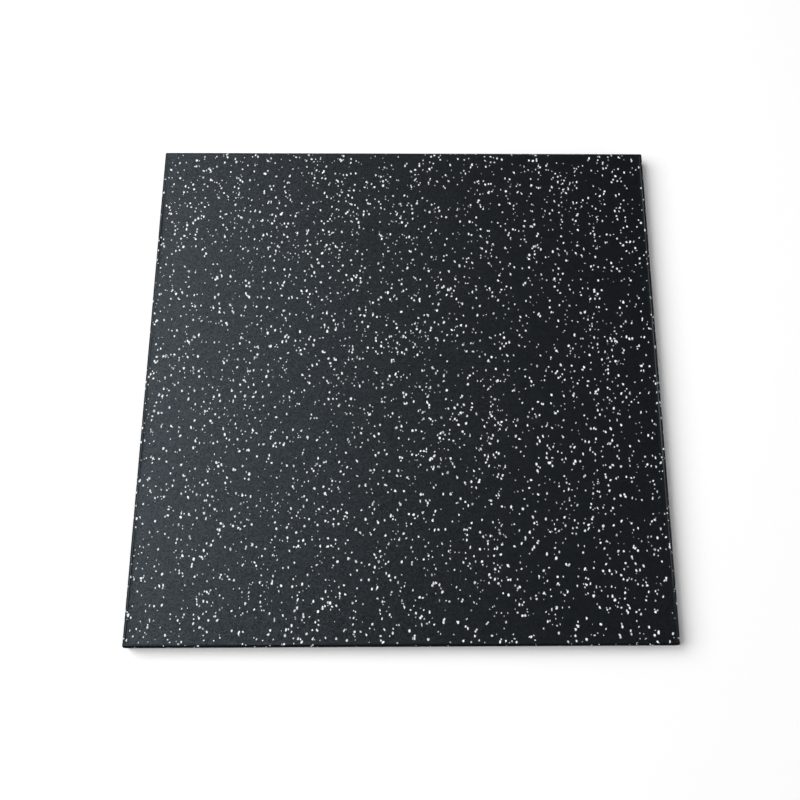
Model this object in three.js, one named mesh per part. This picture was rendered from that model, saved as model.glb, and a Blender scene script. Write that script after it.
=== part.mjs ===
// A square rubber floor tile for a gym, moulded in one piece from crumb rubber.
// Millimetres, +Z up. The origin is the centre of the underside, on the floor.
// +X is the tile's right-hand side and +Y its back, as someone standing in front of it sees them.

import * as THREE from 'three';

// Driving dimensions
const WIDTH = 500; // along X
const LENGTH = 500; // along Y
const THICKNESS = 15;
const TOP_EDGE_RADIUS = 2.5; // rounding between the walking face and the sides
const BOTTOM_EDGE_RADIUS = 1; // rounding between the underside and the sides
const SIDE_CORNER_RADIUS = 2; // upright corners where two sides meet
const FACE_CORNER_RADIUS = 0.5; // least corner radius, which the flat walking face has

// How finely the round stretches are drawn
const CORNER_STEPS = 8; // a quarter turn of a corner, seen from above
const EDGE_STEPS = 6; // a quarter turn of a rounded edge, seen in section

// The rubber as the photograph shows it
const RUBBER_COLOUR = 0x292d31;
const RUBBER_ROUGHNESS = 0.55;
const RUBBER_METALNESS = 0;

const QUARTER_TURN = Math.PI / 2;

// The tile seen from above, shrunk by inset all round: four corner arcs, anticlockwise. The
// corners tighten as it shrinks, down to their least radius.
function outline(inset) {
  const cornerRadius = Math.max(SIDE_CORNER_RADIUS - inset, FACE_CORNER_RADIUS);
  const centreX = WIDTH / 2 - inset - cornerRadius;
  const centreY = LENGTH / 2 - inset - cornerRadius;
  const corners = [
    [centreX, centreY],
    [-centreX, centreY],
    [-centreX, -centreY],
    [centreX, -centreY],
  ];
  return corners.flatMap(([x, y], corner) => {
    const start = corner * QUARTER_TURN;
    const arc = new THREE.ArcCurve(x, y, cornerRadius, start, start + QUARTER_TURN, false);
    return arc.getPoints(CORNER_STEPS);
  });
}

// The section from the underside to the walking face, as steps of inset and height.
function sectionSteps() {
  const bottomEdge = new THREE.ArcCurve(
    BOTTOM_EDGE_RADIUS, BOTTOM_EDGE_RADIUS, BOTTOM_EDGE_RADIUS,
    3 * QUARTER_TURN, 2 * QUARTER_TURN, true,
  );
  const topEdge = new THREE.ArcCurve(
    TOP_EDGE_RADIUS, THICKNESS - TOP_EDGE_RADIUS, TOP_EDGE_RADIUS,
    2 * QUARTER_TURN, QUARTER_TURN, true,
  );
  return [...bottomEdge.getPoints(EDGE_STEPS), ...topEdge.getPoints(EDGE_STEPS)];
}

// One closed solid: a ring of points for each step of the section, joined to the next ring by
// the sides and the rounded edges, and closed by the two flat faces.
function tileGeometry() {
  const rings = sectionSteps().map(({ x: inset, y: height }) => (
    outline(inset).map((point) => new THREE.Vector3(point.x, point.y, height))
  ));
  const ringSize = rings[0].length;
  const triangles = [];

  for (let ring = 0; ring < rings.length - 1; ring += 1) {
    for (let i = 0; i < ringSize; i += 1) {
      const low = ring * ringSize + i;
      const lowNext = ring * ringSize + (i + 1) % ringSize;
      const high = low + ringSize;
      const highNext = lowNext + ringSize;
      triangles.push(low, lowNext, highNext, low, highNext, high);
    }
  }

  const walkingFace = (rings.length - 1) * ringSize;
  for (const [a, b, c] of THREE.ShapeUtils.triangulateShape(rings[0], [])) {
    triangles.push(c, b, a); // the underside looks down
    triangles.push(walkingFace + a, walkingFace + b, walkingFace + c);
  }

  const geometry = new THREE.BufferGeometry().setFromPoints(rings.flat());
  geometry.setIndex(triangles);
  geometry.computeVertexNormals();
  return geometry;
}

const rubber = new THREE.MeshStandardMaterial({
  color: RUBBER_COLOUR,
  roughness: RUBBER_ROUGHNESS,
  metalness: RUBBER_METALNESS,
});

const rubberTile = new THREE.Mesh(tileGeometry(), rubber);
rubberTile.name = 'rubber_tile';

const gymFloorTile = new THREE.Group();
gymFloorTile.add(rubberTile);

export default gymFloorTile;
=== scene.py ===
"""Dresses a square rubber gym floor tile: black crumb rubber with pale rubber granules through it.

Metres, +Z up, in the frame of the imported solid: the tile lies on z = 0 with its front at -Y.
"""

import math

import bmesh
import bpy
from mathutils import Euler, Matrix, Vector, noise


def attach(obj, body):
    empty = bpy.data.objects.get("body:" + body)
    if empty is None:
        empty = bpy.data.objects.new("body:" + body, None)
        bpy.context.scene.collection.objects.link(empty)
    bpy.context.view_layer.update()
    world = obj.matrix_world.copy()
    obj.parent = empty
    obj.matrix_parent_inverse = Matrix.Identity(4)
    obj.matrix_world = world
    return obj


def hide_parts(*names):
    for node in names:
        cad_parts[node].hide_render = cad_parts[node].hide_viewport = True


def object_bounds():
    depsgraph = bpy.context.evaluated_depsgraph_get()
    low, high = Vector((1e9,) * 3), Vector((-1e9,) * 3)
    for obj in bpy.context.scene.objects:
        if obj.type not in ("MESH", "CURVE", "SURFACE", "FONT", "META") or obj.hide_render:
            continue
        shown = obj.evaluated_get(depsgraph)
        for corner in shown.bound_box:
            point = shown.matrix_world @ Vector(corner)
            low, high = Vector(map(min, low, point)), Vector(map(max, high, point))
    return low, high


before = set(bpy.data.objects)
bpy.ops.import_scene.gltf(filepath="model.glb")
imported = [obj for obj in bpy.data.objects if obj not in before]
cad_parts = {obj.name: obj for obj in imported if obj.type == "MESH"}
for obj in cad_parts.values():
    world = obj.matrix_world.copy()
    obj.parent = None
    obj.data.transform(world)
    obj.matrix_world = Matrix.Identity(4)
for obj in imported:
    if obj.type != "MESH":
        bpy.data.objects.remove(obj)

TILE_NODE = "rubber_tile"
BODY = "root"
CAD_LOW, CAD_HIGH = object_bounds()
FACE_FINISH, SIDE_FINISH = 0, 1  # the slab's two materials, in order

# Sockets that share their name with others of the node and go by number
LEAST, MOST, DRAWN = 2, 3, 1  # of a random number: its range, and the number itself
COLOUR_A, COLOUR_B, MIXED = 6, 7, 2  # of a colour mix

bl_info = {
    "name": "Flecked Rubber Floor Tile",
    "version": (1, 0, 0),
    "blender": (4, 5, 0),
    "location": "View3D > Sidebar > Floor Tile",
    "description": "Makes a black crumb rubber floor tile with pale granules, on a studio floor",
    "category": "Add Mesh",
}


def linear(hex_colour):
    """An sRGB colour such as "#20242a" as linear red, green, blue and alpha."""
    channels = [int(hex_colour[i : i + 2], 16) / 255 for i in (1, 3, 5)]
    lit = [c / 12.92 if c <= 0.04045 else ((c + 0.055) / 1.055) ** 2.4 for c in channels]
    return (*lit, 1.0)


def add_node(tree, kind, settings=None, inputs=None):
    """One node with its settings. inputs gives each socket a value or the output that feeds it."""
    node = tree.nodes.new(kind)
    for name, value in (settings or {}).items():
        setattr(node, name, value)
    for socket, value in (inputs or {}).items():
        if isinstance(value, bpy.types.NodeSocket):
            tree.links.new(value, node.inputs[socket])
        else:
            node.inputs[socket].default_value = value
    return node


def length_property(name, description, default):
    """A size in metres, from nothing up."""
    return bpy.props.FloatProperty(
        name=name, description=description, default=default, min=0.0, unit="LENGTH", precision=5
    )


def colour_property(name, description, hex_colour):
    """A colour, kept linear as Blender keeps it."""
    return bpy.props.FloatVectorProperty(
        name=name, description=description, default=linear(hex_colour), size=4,
        min=0.0, max=1.0, subtype="COLOR",
    )


class SlabSettings(bpy.types.PropertyGroup):
    """The black slab: its rounded edges, its surface and its colours."""

    top_edge_radius: length_property(
        "Top Edge Radius", "Rounding between the walking face and the sides", 0.0025
    )
    bottom_edge_radius: length_property(
        "Bottom Edge Radius", "Rounding between the underside and the sides", 0.001
    )
    side_corner_radius: length_property(
        "Side Corner Radius", "Upright corners where two sides meet", 0.002
    )
    face_corner_radius: length_property(
        "Face Corner Radius", "Least corner radius, which the flat walking face has", 0.0005
    )
    lip_height: length_property(
        "Lip Height", "Most that the rim stands above the walking face", 0.0005
    )
    lip_slope_width: length_property(
        "Lip Slope Width", "Width of the slope from the rim down to the walking face", 0.001
    )
    skin: length_property(
        "Skin", "How far the black rubber lies inside the tile's true faces", 0.0001
    )
    relief_depth: length_property(
        "Relief Depth", "Depth of the slow unevenness left by the press", 0.00006
    )
    relief_width: length_property(
        "Relief Width", "Width of one swell of the unevenness", 0.012
    )
    grid_step: length_property("Grid Step", "Spacing of the slab's mesh", 0.003)
    crumb_width: length_property("Crumb Width", "Width of one black crumb", 0.0006)
    crumb_tilt: bpy.props.FloatProperty(
        name="Crumb Tilt", description="Most that the top of a crumb leans along each axis",
        default=math.radians(8.0), min=0.0, subtype="ANGLE",
    )
    dark_colour: colour_property("Dark Crumb", "The darker crumbs", "#010102")
    light_colour: colour_property("Light Crumb", "The lighter crumbs", "#15181b")
    sheen_colour: colour_property("Sheen", "Tint of the faint sheen", "#dff1ff")


class GranuleSettings(bpy.types.PropertyGroup):
    """The pale granules: how many, how large, and their colours."""

    per_square_metre: bpy.props.FloatProperty(
        name="Granules per Square Metre", description="How closely the granules lie",
        default=21500.0, min=0.0,
    )
    smallest: length_property("Smallest", "Width of the smallest granule", 0.0008)
    largest: length_property("Largest", "Width of the largest granule", 0.0026)
    size_skew: bpy.props.FloatProperty(
        name="Size Skew", description="Above 1, small granules outnumber large ones",
        default=1.35, min=0.1,
    )
    stretch: bpy.props.FloatProperty(
        name="Stretch", description="Most that a granule is drawn out one way", default=1.3, min=1.0
    )
    lengthening: bpy.props.FloatProperty(
        name="Lengthening", description="How much longer granules are along the tile than across",
        default=1.35, min=1.0,
    )
    depth: length_property("Depth", "How deep a granule reaches into the rubber", 0.0003)
    ruggedness: bpy.props.FloatProperty(
        name="Ruggedness", description="Most that corners stray, as a share of the width",
        default=0.42, min=0.0,
    )
    clump_width: length_property("Clump Width", "Width of the denser patches", 0.03)
    clump_strength: bpy.props.FloatProperty(
        name="Clump Strength", description="How much denser those patches are",
        default=0.3, min=0.0, max=1.0,
    )
    seed: bpy.props.IntProperty(name="Seed", description="Changes the scatter", default=7)
    pale_colour: colour_property("Pale", "The cleanest granules", "#eff2f5")
    dull_colour: colour_property("Dull", "Granules under a film of black rubber", "#5c6064")


class StageSettings(bpy.types.PropertyGroup):
    """The studio: its floor, lights and camera."""

    floor_width: length_property("Floor Width", "Width of the round studio floor", 5.2)
    floor_colour: colour_property("Floor", "The studio floor", "#f2f2f2")
    key_power: bpy.props.FloatProperty(
        name="Key Power", description="Power of the large soft light", default=177.5, min=0.0
    )
    key_width: length_property("Key Width", "Width of the large soft light", 3.691)
    key_height: length_property("Key Height", "Height of the large soft light", 2.918)
    fill_power: bpy.props.FloatProperty(
        name="Fill Power", description="Power of the lower light across from it", default=55.3,
        min=0.0,
    )
    fill_width: length_property("Fill Width", "Width of the lower light", 2.257)
    fill_height: length_property("Fill Height", "Height of the lower light", 1.741)
    horizon_light: bpy.props.FloatProperty(
        name="Horizon Light", description="Brightness of the dim walls", default=0.507, min=0.0
    )
    ceiling_light: bpy.props.FloatProperty(
        name="Ceiling Light", description="Brightness overhead", default=0.003, min=0.0
    )


def outline(inset, settings, spans, corner_steps):
    """The tile seen from above, shrunk by inset all round, anticlockwise from the right side.

    Each corner arc is followed by the evenly spaced points of the next straight side. The
    corners tighten as the outline shrinks, down to their least radius.
    """
    radius = max(settings.side_corner_radius - inset, settings.face_corner_radius)
    centre_x = CAD_HIGH.x - inset - radius
    centre_y = CAD_HIGH.y - inset - radius
    corners = ((1, 1), (-1, 1), (-1, -1), (1, -1))
    points = []
    for corner, (side_x, side_y) in enumerate(corners):
        centre = Vector((side_x * centre_x, side_y * centre_y))
        for i in range(corner_steps + 1):
            angle = (corner + i / corner_steps) * math.pi / 2
            points.append(centre + radius * Vector((math.cos(angle), math.sin(angle))))
        end = points[-1]
        next_x, next_y = corners[(corner + 1) % 4]
        turn = (corner + 1) * math.pi / 2
        start = Vector((next_x * centre_x, next_y * centre_y))
        start = start + radius * Vector((math.cos(turn), math.sin(turn)))
        span = spans[corner % 2]
        points.extend(end.lerp(start, i / span) for i in range(1, span))
    return points


def section(settings):
    """The slab's section from its underside to its walking face, without the lip's own rise.

    Each step is its inset, its height, its share of the lip's height and whether a plate pressed
    it: the two faces were pressed, and the sides between them weren't.
    """
    face_slope = 0.9  # a rounded edge counts as side where it's steeper than this
    lip_sharpness = 4  # the higher, the nearer to the face the lip starts on the rounded edge
    arc_steps = 6
    slope_steps = 5
    skin = settings.skin
    low, high = CAD_LOW.z + skin, CAD_HIGH.z - skin - settings.lip_height
    bottom, top = settings.bottom_edge_radius, settings.top_edge_radius
    steps = []
    for i in range(arc_steps + 1):
        angle = i / arc_steps * math.pi / 2
        inset = skin + bottom * (1 - math.sin(angle))
        pressed = math.cos(angle) > face_slope
        steps.append((inset, low + bottom * (1 - math.cos(angle)), 0.0, pressed))
    side_height = (high - top) - (low + bottom)
    side_steps = max(1, round(side_height / settings.grid_step))
    for i in range(1, side_steps):
        steps.append((skin, low + bottom + side_height * i / side_steps, 0.0, False))
    for i in range(arc_steps + 1):
        angle = i / arc_steps * math.pi / 2
        inset = skin + top * (1 - math.cos(angle))
        height = high - top * (1 - math.sin(angle))
        pressed = math.sin(angle) > face_slope
        steps.append((inset, height, math.sin(angle) ** lip_sharpness, pressed))
    for i in range(1, slope_steps + 1):
        share = i / slope_steps
        inset = skin + top + settings.lip_slope_width * share
        steps.append((inset, high, 0.5 + 0.5 * math.cos(math.pi * share), True))
    return steps


def lip_rise(point, settings):
    """How high the lip stands at a place on the tile's edge: it waxes and wanes along it."""
    swell_width = 0.07
    noise_level = 147.26  # where the noise swells most midway along the right side
    usual, swing = 0.6, 0.4  # shares of the lip's full height
    noise_reach = 0.5  # the noise seldom goes further than this from nought
    swell = noise.noise(Vector((point.x / swell_width, point.y / swell_width, noise_level)))
    return settings.lip_height * (usual + swing * max(-1.0, min(1.0, swell / noise_reach)))


def fill_face(mesh, ring, corner_steps, spans, height, flip):
    """Closes one flat face with a grid whose border is ring, with one many-sided face a corner."""
    across, along = spans
    arc = corner_steps + 1
    right_corner, left_corner = 0, arc + across - 1
    far_left = left_corner + arc + along - 1
    far_right = far_left + arc + across - 1

    def border(column, row):
        """The ring's point at a place of the grid's border that isn't a corner."""
        if row == along:
            return ring[right_corner + arc - 1 + across - column]
        if column == 0:
            return ring[left_corner + arc - 1 + along - row]
        if row == 0:
            return ring[far_left + arc - 1 + column]
        return ring[(far_right + arc - 1 + row) % len(ring)]

    west, north = border(1, along).co.x, border(across, along - 1).co.y
    east, south = border(across - 1, along).co.x, border(across, 1).co.y
    grid = {}
    for column in range(1, across):
        for row in range(1, along):
            x = west + (east - west) * (column - 1) / (across - 2)
            y = south + (north - south) * (row - 1) / (along - 2)
            grid[column, row] = mesh.verts.new((x, y, height))

    def at(column, row):
        inner = grid.get((column, row))
        return inner if inner else border(column, row)

    def add(corners):
        mesh.faces.new(corners[::-1] if flip else corners)

    for column in range(across):
        for row in range(along):
            if column in (0, across - 1) and row in (0, along - 1):
                continue
            add([
                at(column, row), at(column + 1, row),
                at(column + 1, row + 1), at(column, row + 1),
            ])
    starts = (right_corner, left_corner, far_left, far_right)
    inner = ((across - 1, along - 1), (1, along - 1), (1, 1), (across - 1, 1))
    for start, place in zip(starts, inner):
        arc_points = [ring[(start + i - 1) % len(ring)] for i in range(arc + 2)]
        add([grid[place], *arc_points])


def press_relief(mesh, settings):
    """Sinks each point a little along its normal, by the slow unevenness that the press leaves."""
    ripple_width = settings.relief_width / 2.3
    elsewhere = Vector((7, 3, 1))  # so that the ripples don't follow the swells
    usual, swell_share, ripple_share = 0.5, 0.35, 0.15  # of the relief's full depth
    mesh.normal_update()
    sunk = []
    for vertex in mesh.verts:
        swell = noise.noise(vertex.co / settings.relief_width)
        ripple = noise.noise(vertex.co / ripple_width + elsewhere)
        depth = settings.relief_depth * (usual + swell_share * swell + ripple_share * ripple)
        sunk.append(vertex.co - vertex.normal * depth)
    for vertex, place in zip(mesh.verts, sunk):
        vertex.co = place


def slab_mesh(settings):
    """The black slab as one closed mesh: rounded edges, straight sides and two gridded faces."""
    corner_steps = 5  # in a quarter turn of a corner
    straight_x = 2 * (CAD_HIGH.x - settings.side_corner_radius)
    straight_y = 2 * (CAD_HIGH.y - settings.side_corner_radius)
    spans = (round(straight_x / settings.grid_step), round(straight_y / settings.grid_step))
    mesh = bmesh.new()
    rings = []
    pressed = []
    for inset, height, lip_share, on_face in section(settings):
        points = outline(inset, settings, spans, corner_steps)
        heights = (height + lip_share * lip_rise(point, settings) for point in points)
        rings.append([mesh.verts.new((p.x, p.y, z)) for p, z in zip(points, heights)])
        pressed.append(on_face)
    for step, (low, high) in enumerate(zip(rings, rings[1:])):
        finish = FACE_FINISH if all(pressed[step : step + 2]) else SIDE_FINISH
        for i in range(len(low)):
            j = (i + 1) % len(low)
            face = mesh.faces.new([low[i], low[j], high[j], high[i]])
            face.material_index = finish
    fill_face(mesh, rings[0], corner_steps, spans, rings[0][0].co.z, flip=True)
    fill_face(mesh, rings[-1], corner_steps, spans, rings[-1][0].co.z, flip=False)
    press_relief(mesh, settings)
    for face in mesh.faces:
        face.smooth = True
    data = bpy.data.meshes.new("crumb_rubber_slab")
    mesh.to_mesh(data)
    mesh.free()
    return data


def crumb_rubber(name, settings, smoothest, roughest, gloss):
    """Black tyre crumb bound with polyurethane: near black, dull, faintly mottled.

    The crumbs show as cells of slightly different black, each leaning a little its own way, with
    fine seams between them and a faint, cool sheen. Each is between smoothest and roughest.
    """
    grit_width = 0.00045
    grit_depth = 0.00005
    seam_depth = settings.crumb_width / 15
    seam_reach = 0.12  # from a crumb's edge, as a share of its width
    lighter_rarity = 4.0  # the higher, the fewer crumbs are lighter
    material = bpy.data.materials.new(name)
    material.use_nodes = True
    tree = material.node_tree
    tree.nodes.clear()
    place = add_node(tree, "ShaderNodeTexCoord").outputs["Object"]
    crumbs = add_node(
        tree, "ShaderNodeTexVoronoi", {"feature": "F1"},
        {"Vector": place, "Scale": 1 / settings.crumb_width},
    )
    one_crumb = add_node(
        tree, "ShaderNodeSeparateColor", inputs={"Color": crumbs.outputs["Color"]}
    )
    few_lighter = add_node(
        tree, "ShaderNodeMath", {"operation": "POWER"},
        {0: one_crumb.outputs["Red"], 1: lighter_rarity},
    )
    colour = add_node(
        tree, "ShaderNodeMix", {"data_type": "RGBA"},
        {
            "Factor": few_lighter.outputs["Value"],
            COLOUR_A: settings.dark_colour,
            COLOUR_B: settings.light_colour,
        },
    )
    seams = add_node(
        tree, "ShaderNodeTexVoronoi", {"feature": "DISTANCE_TO_EDGE"},
        {"Vector": place, "Scale": 1 / settings.crumb_width},
    )
    seam_height = add_node(
        tree, "ShaderNodeMapRange", {"interpolation_type": "SMOOTHSTEP"},
        {"Value": seams.outputs["Distance"], "From Min": 0.0, "From Max": seam_reach},
    )
    grit = add_node(
        tree, "ShaderNodeTexNoise",
        inputs={"Vector": place, "Scale": 1 / grit_width, "Detail": 3.0},
    )
    lean = add_node(
        tree, "ShaderNodeVectorMath", {"operation": "SUBTRACT"},
        {0: crumbs.outputs["Color"], 1: (0.5, 0.5, 0.5)},
    )
    lean_reach = add_node(
        tree, "ShaderNodeVectorMath", {"operation": "SCALE"},
        {0: lean.outputs["Vector"], "Scale": 2 * math.tan(settings.crumb_tilt)},
    )
    upright = add_node(tree, "ShaderNodeNewGeometry").outputs["Normal"]
    leaning = add_node(
        tree, "ShaderNodeVectorMath", {"operation": "ADD"},
        {0: upright, 1: lean_reach.outputs["Vector"]},
    )
    crumb_top = add_node(
        tree, "ShaderNodeVectorMath", {"operation": "NORMALIZE"}, {0: leaning.outputs["Vector"]}
    )
    seam_bump = add_node(
        tree, "ShaderNodeBump",
        inputs={
            "Strength": 0.5, "Distance": seam_depth, "Height": seam_height.outputs["Result"],
            "Normal": crumb_top.outputs["Vector"],
        },
    )
    grit_bump = add_node(
        tree, "ShaderNodeBump",
        inputs={
            "Strength": 0.4, "Distance": grit_depth, "Height": grit.outputs["Fac"],
            "Normal": seam_bump.outputs["Normal"],
        },
    )
    roughness = add_node(
        tree, "ShaderNodeMapRange",
        inputs={"Value": one_crumb.outputs["Green"], "To Min": smoothest, "To Max": roughest},
    )
    shader = add_node(
        tree, "ShaderNodeBsdfPrincipled",
        inputs={
            "Base Color": colour.outputs[MIXED],
            "Roughness": roughness.outputs["Result"],
            "IOR": 1.52,
            "Specular IOR Level": gloss,
            "Specular Tint": settings.sheen_colour,
            "Normal": grit_bump.outputs["Normal"],
        },
    )
    add_node(tree, "ShaderNodeOutputMaterial", inputs={"Surface": shader.outputs["BSDF"]})
    return material


def ground_granules(settings):
    """Pale EPDM rubber ground to granules: chalky and matt, some dulled by a film of black."""
    scuff_width = 0.00067
    scuff_depth = 0.00004
    material = bpy.data.materials.new("Ground Pale EPDM Rubber")
    material.use_nodes = True
    tree = material.node_tree
    tree.nodes.clear()
    cleanness = add_node(tree, "ShaderNodeAttribute", {"attribute_name": "cleanness"})
    place = add_node(tree, "ShaderNodeTexCoord").outputs["Object"]
    scuffs = add_node(
        tree, "ShaderNodeTexNoise",
        inputs={"Vector": place, "Scale": 1 / scuff_width, "Detail": 2.0},
    )
    scuffed = add_node(
        tree, "ShaderNodeMapRange",
        inputs={
            "Value": scuffs.outputs["Fac"], "From Min": 0.3, "From Max": 0.7,
            "To Min": 0.86, "To Max": 1.0,
        },
    )
    share = add_node(
        tree, "ShaderNodeMath", {"operation": "MULTIPLY"},
        {0: cleanness.outputs["Fac"], 1: scuffed.outputs["Result"]},
    )
    colour = add_node(
        tree, "ShaderNodeMix", {"data_type": "RGBA"},
        {
            "Factor": share.outputs["Value"],
            COLOUR_A: settings.dull_colour,
            COLOUR_B: settings.pale_colour,
        },
    )
    bump = add_node(
        tree, "ShaderNodeBump",
        inputs={"Strength": 0.3, "Distance": scuff_depth, "Height": scuffs.outputs["Fac"]},
    )
    shader = add_node(
        tree, "ShaderNodeBsdfPrincipled",
        inputs={
            "Base Color": colour.outputs[MIXED], "Roughness": 0.75, "IOR": 1.5,
            "Normal": bump.outputs["Normal"],
        },
    )
    add_node(tree, "ShaderNodeOutputMaterial", inputs={"Surface": shader.outputs["BSDF"]})
    return material


GRANULE_INPUTS = (
    ("Slab", "NodeSocketObject"),
    ("Granules per Square Metre", "NodeSocketFloat"),
    ("Smallest", "NodeSocketFloat"),
    ("Largest", "NodeSocketFloat"),
    ("Size Skew", "NodeSocketFloat"),
    ("Stretch", "NodeSocketFloat"),
    ("Growth", "NodeSocketVector"),
    ("Depth", "NodeSocketFloat"),
    ("Stand", "NodeSocketFloat"),
    ("Ruggedness", "NodeSocketFloat"),
    ("Clump Width", "NodeSocketFloat"),
    ("Clump Strength", "NodeSocketFloat"),
    ("Lowest Slope", "NodeSocketFloat"),
    ("Highest Slope", "NodeSocketFloat"),
    ("Seed", "NodeSocketInt"),
    ("Material", "NodeSocketMaterial"),
)


def scatter_granules(tree, given, slab, normal):
    """Points over the faces that slope as asked, closer together in some patches than in others."""
    slope = add_node(tree, "ShaderNodeSeparateXYZ", inputs={"Vector": normal}).outputs["Z"]
    above = add_node(
        tree, "FunctionNodeCompare", {"data_type": "FLOAT", "operation": "GREATER_THAN"},
        {0: slope, 1: given["Lowest Slope"]},
    )
    below = add_node(
        tree, "FunctionNodeCompare", {"data_type": "FLOAT", "operation": "LESS_EQUAL"},
        {0: slope, 1: given["Highest Slope"]},
    )
    wanted = add_node(
        tree, "FunctionNodeBooleanMath", {"operation": "AND"},
        {0: above.outputs["Result"], 1: below.outputs["Result"]},
    )
    place = add_node(tree, "GeometryNodeInputPosition").outputs["Position"]
    per_clump = add_node(
        tree, "ShaderNodeMath", {"operation": "DIVIDE"}, {0: 1.0, 1: given["Clump Width"]}
    )
    patches = add_node(
        tree, "ShaderNodeTexNoise",
        inputs={"Vector": place, "Scale": per_clump.outputs["Value"], "Detail": 1.0},
    )
    thinnest = add_node(
        tree, "ShaderNodeMath", {"operation": "SUBTRACT"}, {0: 1.0, 1: given["Clump Strength"]}
    )
    thickest = add_node(
        tree, "ShaderNodeMath", {"operation": "ADD"}, {0: 1.0, 1: given["Clump Strength"]}
    )
    crowding = add_node(
        tree, "ShaderNodeMapRange",
        inputs={
            "Value": patches.outputs["Fac"], "From Min": 0.25, "From Max": 0.75,
            "To Min": thinnest.outputs["Value"], "To Max": thickest.outputs["Value"],
        },
    )
    density = add_node(
        tree, "ShaderNodeMath", {"operation": "MULTIPLY"},
        {0: crowding.outputs["Result"], 1: given["Granules per Square Metre"]},
    )
    return add_node(
        tree, "GeometryNodeDistributePointsOnFaces", {"distribute_method": "RANDOM"},
        {
            "Mesh": slab, "Selection": wanted.outputs["Boolean"],
            "Density": density.outputs["Value"], "Seed": given["Seed"],
        },
    ).outputs


def granule_size(tree, given):
    """One granule's width, and its size as a vector: the small ones are the most common."""
    chance = add_node(
        tree, "FunctionNodeRandomValue", {"data_type": "FLOAT"}, {LEAST: 0.0, MOST: 1.0, "Seed": 1}
    )
    skewed = add_node(
        tree, "ShaderNodeMath", {"operation": "POWER"},
        {0: chance.outputs[DRAWN], 1: given["Size Skew"]},
    )
    width = add_node(
        tree, "ShaderNodeMapRange",
        inputs={
            "Value": skewed.outputs["Value"], "To Min": given["Smallest"],
            "To Max": given["Largest"],
        },
    ).outputs["Result"]
    stretch = add_node(
        tree, "FunctionNodeRandomValue", {"data_type": "FLOAT"},
        {LEAST: 1.0, MOST: given["Stretch"], "Seed": 2},
    ).outputs[DRAWN]
    long_way = add_node(tree, "ShaderNodeMath", {"operation": "MULTIPLY"}, {0: width, 1: stretch})
    short_way = add_node(tree, "ShaderNodeMath", {"operation": "DIVIDE"}, {0: width, 1: stretch})
    size = add_node(
        tree, "ShaderNodeCombineXYZ",
        inputs={
            "X": long_way.outputs["Value"], "Y": short_way.outputs["Value"], "Z": given["Depth"],
        },
    )
    return width, size.outputs["Vector"]


def granule_turn(tree, rotation):
    """Each granule's rotation: flat on the slab, and turned its own way round."""
    turn = add_node(
        tree, "FunctionNodeRandomValue", {"data_type": "FLOAT"},
        {LEAST: 0.0, MOST: 2 * math.pi, "Seed": 3},
    )
    spin = add_node(
        tree, "FunctionNodeAxisAngleToRotation",
        inputs={"Axis": (0.0, 0.0, 1.0), "Angle": turn.outputs[DRAWN]},
    )
    return add_node(
        tree, "FunctionNodeRotateRotation", {"rotation_space": "LOCAL"},
        {"Rotation": rotation, "Rotate By": spin.outputs["Rotation"]},
    ).outputs["Rotation"]


def marked_points(tree, given, scatter, width):
    """Notes each granule's cleanness, place, facing, width and stand on its point."""
    least_stand = 0.35  # share of the most that a granule stands out of the rubber
    clean_skew = 0.27  # below 1, so that clean granules outnumber dull ones
    lowest = add_node(
        tree, "ShaderNodeMath", {"operation": "MULTIPLY"}, {0: given["Stand"], 1: least_stand}
    )
    stand = add_node(
        tree, "FunctionNodeRandomValue", {"data_type": "FLOAT"},
        {LEAST: lowest.outputs["Value"], MOST: given["Stand"], "Seed": 4},
    )
    clean = add_node(
        tree, "FunctionNodeRandomValue", {"data_type": "FLOAT"}, {LEAST: 0.0, MOST: 1.0, "Seed": 5}
    )
    mostly_clean = add_node(
        tree, "ShaderNodeMath", {"operation": "POWER"}, {0: clean.outputs[DRAWN], 1: clean_skew}
    )
    marked = add_node(
        tree, "GeometryNodeStoreNamedAttribute", {"data_type": "FLOAT", "domain": "POINT"},
        {
            "Geometry": scatter["Points"], "Name": "cleanness",
            "Value": mostly_clean.outputs["Value"],
        },
    )
    centre = add_node(tree, "GeometryNodeInputPosition").outputs["Position"]
    kept = add_node(tree, "GeometryNodeCaptureAttribute", {"domain": "POINT"})
    tree.links.new(marked.outputs["Geometry"], kept.inputs["Geometry"])
    for name, kind, value in (
        ("Centre", "VECTOR", centre),
        ("Facing", "VECTOR", scatter["Normal"]),
        ("Width", "FLOAT", width),
        ("Stand", "FLOAT", stand.outputs[DRAWN]),
    ):
        kept.capture_items.new(kind, name)
        tree.links.new(value, kept.inputs[name])
    return kept.outputs


def one_granule(tree):
    """A seven-sided frustum, about a unit wide and one deep, broad end down and its top at 0.

    Each of its points keeps its own level, from 0 at the top down to -1.
    """
    granule = add_node(
        tree, "GeometryNodeMeshCone", {"fill_type": "NGON"},
        {
            "Vertices": 7, "Side Segments": 1, "Fill Segments": 1,
            "Radius Top": 0.45, "Radius Bottom": 0.55, "Depth": 1.0,
        },
    )
    sunk = add_node(
        tree, "GeometryNodeTransform",
        inputs={"Geometry": granule.outputs["Mesh"], "Translation": (0.0, 0.0, -1.0)},
    )
    place = add_node(tree, "GeometryNodeInputPosition").outputs["Position"]
    height = add_node(tree, "ShaderNodeSeparateXYZ", inputs={"Vector": place})
    levelled = add_node(tree, "GeometryNodeCaptureAttribute", {"domain": "POINT"})
    levelled.capture_items.new("FLOAT", "Level")
    tree.links.new(sunk.outputs["Geometry"], levelled.inputs["Geometry"])
    tree.links.new(height.outputs["Z"], levelled.inputs["Level"])
    return levelled.outputs


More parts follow.
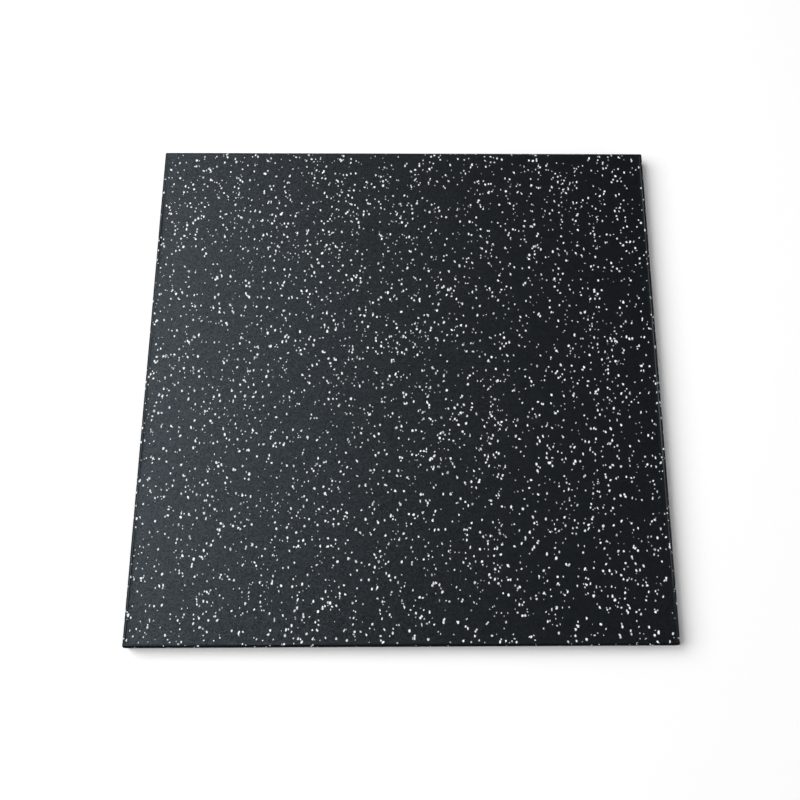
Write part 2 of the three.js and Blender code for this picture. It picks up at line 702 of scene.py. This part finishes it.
def lengthened_and_rugged(tree, given, kept, granules):
    """Draws the granules out along the tile and shifts their corners, so no two are alike."""
    chip_width = 0.0011  # of the chips that make an outline rugged
    place = add_node(tree, "GeometryNodeInputPosition").outputs["Position"]
    roughing = add_node(
        tree, "ShaderNodeTexNoise",
        inputs={"Vector": place, "Scale": 1 / chip_width, "Detail": 1.0},
    )
    stray = add_node(
        tree, "ShaderNodeVectorMath", {"operation": "SUBTRACT"},
        {0: roughing.outputs["Color"], 1: (0.5, 0.5, 0.5)},
    )
    reach = add_node(
        tree, "ShaderNodeMath", {"operation": "MULTIPLY"},
        {0: kept["Width"], 1: given["Ruggedness"]},
    )
    reach_both_ways = add_node(
        tree, "ShaderNodeMath", {"operation": "MULTIPLY"}, {0: reach.outputs["Value"], 1: 2.0}
    )
    moved = add_node(
        tree, "ShaderNodeVectorMath", {"operation": "SCALE"},
        {0: stray.outputs["Vector"], "Scale": reach_both_ways.outputs["Value"]},
    )
    spoke = add_node(
        tree, "ShaderNodeVectorMath", {"operation": "SUBTRACT"}, {0: place, 1: kept["Centre"]}
    )
    grown = add_node(
        tree, "ShaderNodeVectorMath", {"operation": "MULTIPLY"},
        {0: spoke.outputs["Vector"], 1: given["Growth"]},
    )
    both = add_node(
        tree, "ShaderNodeVectorMath", {"operation": "ADD"},
        {0: moved.outputs["Vector"], 1: grown.outputs["Vector"]},
    )
    lifted = add_node(
        tree, "ShaderNodeVectorMath", {"operation": "PROJECT"},
        {0: both.outputs["Vector"], 1: kept["Facing"]},
    )
    sideways = add_node(
        tree, "ShaderNodeVectorMath", {"operation": "SUBTRACT"},
        {0: both.outputs["Vector"], 1: lifted.outputs["Vector"]},
    )
    return add_node(
        tree, "GeometryNodeSetPosition",
        inputs={"Geometry": granules, "Offset": sideways.outputs["Vector"]},
    ).outputs["Geometry"]


def pressed_flush(tree, given, kept, level, slab, normal, granules):
    """Puts every point of the granules at its own level over the nearest spot of the slab."""
    nearest = add_node(
        tree, "GeometryNodeProximity", {"target_element": "FACES"}, {"Geometry": slab}
    )
    slab_normal = add_node(
        tree, "GeometryNodeSampleNearestSurface", {"data_type": "FLOAT_VECTOR"},
        {"Mesh": slab, "Value": normal},
    )
    below_top = add_node(
        tree, "ShaderNodeMath", {"operation": "MULTIPLY"}, {0: level, 1: given["Depth"]}
    )
    height = add_node(
        tree, "ShaderNodeMath", {"operation": "ADD"},
        {0: kept["Stand"], 1: below_top.outputs["Value"]},
    )
    offset = add_node(
        tree, "ShaderNodeVectorMath", {"operation": "SCALE"},
        {0: slab_normal.outputs["Value"], "Scale": height.outputs["Value"]},
    )
    place = add_node(
        tree, "ShaderNodeVectorMath", {"operation": "ADD"},
        {0: nearest.outputs["Position"], 1: offset.outputs["Vector"]},
    )
    return add_node(
        tree, "GeometryNodeSetPosition",
        inputs={"Geometry": granules, "Position": place.outputs["Vector"]},
    ).outputs["Geometry"]


def granule_tree():
    """Geometry Nodes that scatter ground granules over a slab and press them flush with it."""
    tree = bpy.data.node_groups.new("Pressed Granules", "GeometryNodeTree")
    for name, kind in GRANULE_INPUTS:
        tree.interface.new_socket(name=name, in_out="INPUT", socket_type=kind)
    tree.interface.new_socket(name="Geometry", in_out="OUTPUT", socket_type="NodeSocketGeometry")
    given = add_node(tree, "NodeGroupInput").outputs
    slab = add_node(
        tree, "GeometryNodeObjectInfo", {"transform_space": "ORIGINAL"}, {"Object": given["Slab"]}
    ).outputs["Geometry"]
    normal = add_node(tree, "GeometryNodeInputNormal").outputs["Normal"]

    scatter = scatter_granules(tree, given, slab, normal)
    width, size = granule_size(tree, given)
    kept = marked_points(tree, given, scatter, width)
    levelled = one_granule(tree)
    laid = add_node(
        tree, "GeometryNodeInstanceOnPoints",
        inputs={
            "Points": kept["Geometry"], "Instance": levelled["Geometry"],
            "Rotation": granule_turn(tree, scatter["Rotation"]), "Scale": size,
        },
    )
    real = add_node(
        tree, "GeometryNodeRealizeInstances", inputs={"Geometry": laid.outputs["Instances"]}
    )
    granules = lengthened_and_rugged(tree, given, kept, real.outputs["Geometry"])
    granules = pressed_flush(tree, given, kept, levelled["Level"], slab, normal, granules)
    painted = add_node(
        tree, "GeometryNodeSetMaterial",
        inputs={"Geometry": granules, "Material": given["Material"]},
    )
    add_node(tree, "NodeGroupOutput", inputs={"Geometry": painted.outputs["Geometry"]})
    return tree


def finish_piece(piece):
    """Fixes a piece to the tile's body."""
    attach(piece, BODY)


class FLOORTILE_OT_slab(bpy.types.Operator):
    """Make the black crumb rubber slab in place of the plain solid"""

    bl_idname = "floortile.slab"
    bl_label = "Rubber Slab"

    def execute(self, context):
        settings = context.scene.tile_slab
        slab = bpy.data.objects.new("crumb_rubber_slab", slab_mesh(settings))
        context.scene.collection.objects.link(slab)
        # The plates of the press closed the faces, which left them a low sheen
        faces = crumb_rubber(
            "Pressed Black Crumb Rubber", settings, smoothest=0.32, roughest=0.40, gloss=0.33
        )
        # The mould's walls only held the sides, which stayed open and dull
        sides = crumb_rubber(
            "Side-Moulded Black Crumb Rubber", settings, smoothest=0.66, roughest=0.74, gloss=0.08
        )
        slab.data.materials.append(faces)
        slab.data.materials.append(sides)
        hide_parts(TILE_NODE)
        finish_piece(slab)
        return {"FINISHED"}


class FLOORTILE_OT_granules(bpy.types.Operator):
    """Scatter the pale granules over the slab: its walking face and sides, then its underside"""

    bl_idname = "floortile.granules"
    bl_label = "Pale Granules"

    def execute(self, context):
        settings = context.scene.tile_granules
        tree = granule_tree()
        sockets = {item.name: item.identifier for item in tree.interface.items_tree}
        material = ground_granules(settings)
        longer = math.sqrt(settings.lengthening)  # along the tile, and as much narrower across
        underside_slope = -0.5
        pieces = (
            ("pale_granules_upper", underside_slope, 1.0, settings.seed),
            ("pale_granules_lower", -1.0, underside_slope, settings.seed + 1),
        )
        for name, lowest, highest, seed in pieces:
            scattered = bpy.data.objects.new(name, bpy.data.meshes.new(name))
            context.scene.collection.objects.link(scattered)
            nodes = scattered.modifiers.new("Granules", "NODES")
            nodes.node_group = tree
            values = {
                "Slab": bpy.data.objects["crumb_rubber_slab"],
                "Granules per Square Metre": settings.per_square_metre,
                "Smallest": settings.smallest,
                "Largest": settings.largest,
                "Size Skew": settings.size_skew,
                "Stretch": settings.stretch,
                "Growth": (1 / longer - 1, longer - 1, 0.0),
                "Depth": settings.depth,
                "Stand": context.scene.tile_slab.skin,
                "Ruggedness": settings.ruggedness,
                "Clump Width": settings.clump_width,
                "Clump Strength": settings.clump_strength,
                "Lowest Slope": lowest,
                "Highest Slope": highest,
                "Seed": seed,
                "Material": material,
            }
            for socket, value in values.items():
                nodes[sockets[socket]] = value
            context.view_layer.update()
            evaluated = scattered.evaluated_get(context.evaluated_depsgraph_get())
            plain = bpy.data.meshes.new_from_object(evaluated)
            if not plain.polygons:
                raise RuntimeError(f"no granules were made for {name}")
            scattered.modifiers.remove(nodes)
            scattered.data = plain
            finish_piece(scattered)
        return {"FINISHED"}


def studio_floor(settings):
    """A round board painted matt white: plain, with only the tile's soft shadow on it."""
    material = bpy.data.materials.new("Matt White Floor")
    material.use_nodes = True
    shader = material.node_tree.nodes["Principled BSDF"]
    shader.inputs["Base Color"].default_value = settings.floor_colour
    shader.inputs["Roughness"].default_value = 0.9
    shader.inputs["Specular IOR Level"].default_value = 0.2
    rim_steps = 96
    disc = bmesh.new()
    bmesh.ops.create_circle(
        disc, cap_ends=True, segments=rim_steps, radius=settings.floor_width / 2
    )
    data = bpy.data.meshes.new("studio_floor")
    disc.to_mesh(data)
    disc.free()
    data.materials.append(material)
    floor = bpy.data.objects.new("studio_floor", data)
    return floor


def studio_world(settings):
    """Dim walls that darken to the ceiling."""
    world = bpy.data.worlds.new("Studio")
    world.use_nodes = True
    tree = world.node_tree
    tree.nodes.clear()
    direction = add_node(tree, "ShaderNodeTexCoord").outputs["Generated"]
    height = add_node(tree, "ShaderNodeSeparateXYZ", inputs={"Vector": direction}).outputs["Z"]
    light = add_node(
        tree, "ShaderNodeMapRange",
        inputs={
            "Value": height, "To Min": settings.horizon_light, "To Max": settings.ceiling_light,
        },
    )
    background = add_node(
        tree, "ShaderNodeBackground", inputs={"Strength": light.outputs["Result"]}
    )
    add_node(tree, "ShaderNodeOutputWorld", inputs={"Surface": background.outputs["Background"]})
    return world


def soft_light(name, power, place, width, height):
    """A large soft light that faces the tile and isn't seen itself."""
    data = bpy.data.lights.new(name, "AREA")
    data.shape = "RECTANGLE"
    data.size = width
    data.size_y = height
    data.energy = power
    light = bpy.data.objects.new(name, data)
    light.location = place
    light.rotation_euler = (-Vector(place)).to_track_quat("-Z", "Y").to_euler()
    light.visible_camera = False
    return light


def studio_camera():
    """The photograph's view: from just in front of the tile, looking steeply down at it."""
    place = Vector((0.01569, -0.26145, 0.84301))
    elevation = math.radians(73.7625)
    heading = math.radians(2.9475)
    roll = math.radians(2.7671)
    focal_pixels = 894.2
    centre_pixels = 432.55
    image_pixels = 800
    data = bpy.data.cameras.new("Studio Camera")
    data.sensor_width = 36.0
    data.lens = focal_pixels / image_pixels * data.sensor_width
    data.shift_x = (image_pixels / 2 - centre_pixels) / image_pixels
    data.clip_start = 0.01
    camera = bpy.data.objects.new("Studio Camera", data)
    facing = Euler((math.pi / 2 - elevation, 0.0, -heading)).to_matrix()
    facing = facing @ Matrix.Rotation(roll, 3, "Z")
    camera.matrix_world = Matrix.Translation(place) @ facing.to_4x4()
    return camera


class FLOORTILE_OT_stage(bpy.types.Operator):
    """Set up the white floor, the soft studio lights and the camera"""

    bl_idname = "floortile.stage"
    bl_label = "Studio Stage"

    def execute(self, context):
        scene = context.scene
        settings = scene.tile_stage
        key_place = (-2.180, 0.517, 2.285)
        fill_place = (2.992, -0.448, 1.043)
        key = soft_light(
            "Soft Key Light", settings.key_power, key_place, settings.key_width,
            settings.key_height,
        )
        fill = soft_light(
            "Soft Fill Light", settings.fill_power, fill_place, settings.fill_width,
            settings.fill_height,
        )
        camera = studio_camera()
        for thing in (studio_floor(settings), key, fill, camera):
            scene.collection.objects.link(thing)
        scene.world = studio_world(settings)
        scene.camera = camera
        scene.view_settings.view_transform = "Standard"
        scene.view_settings.look = "None"
        return {"FINISHED"}


class FLOORTILE_PT_panel(bpy.types.Panel):
    """Lists the tile's makers with their settings"""

    bl_idname = "FLOORTILE_PT_panel"
    bl_label = "Floor Tile"
    bl_space_type = "VIEW_3D"
    bl_region_type = "UI"
    bl_category = "Floor Tile"

    def draw(self, context):
        for group, operator in (
            (context.scene.tile_slab, FLOORTILE_OT_slab),
            (context.scene.tile_granules, FLOORTILE_OT_granules),
            (context.scene.tile_stage, FLOORTILE_OT_stage),
        ):
            box = self.layout.box()
            for name in group.__annotations__:
                box.prop(group, name)
            box.operator(operator.bl_idname)


CLASSES = (
    SlabSettings,
    GranuleSettings,
    StageSettings,
    FLOORTILE_OT_slab,
    FLOORTILE_OT_granules,
    FLOORTILE_OT_stage,
    FLOORTILE_PT_panel,
)


def register():
    for cls in CLASSES:
        bpy.utils.register_class(cls)
    bpy.types.Scene.tile_slab = bpy.props.PointerProperty(type=SlabSettings)
    bpy.types.Scene.tile_granules = bpy.props.PointerProperty(type=GranuleSettings)
    bpy.types.Scene.tile_stage = bpy.props.PointerProperty(type=StageSettings)


def unregister():
    del bpy.types.Scene.tile_stage
    del bpy.types.Scene.tile_granules
    del bpy.types.Scene.tile_slab
    for cls in reversed(CLASSES):
        bpy.utils.unregister_class(cls)


def main():
    register()
    bpy.ops.floortile.slab()
    bpy.ops.floortile.granules()
    bpy.ops.floortile.stage()


if __name__ == "__main__":
    main()
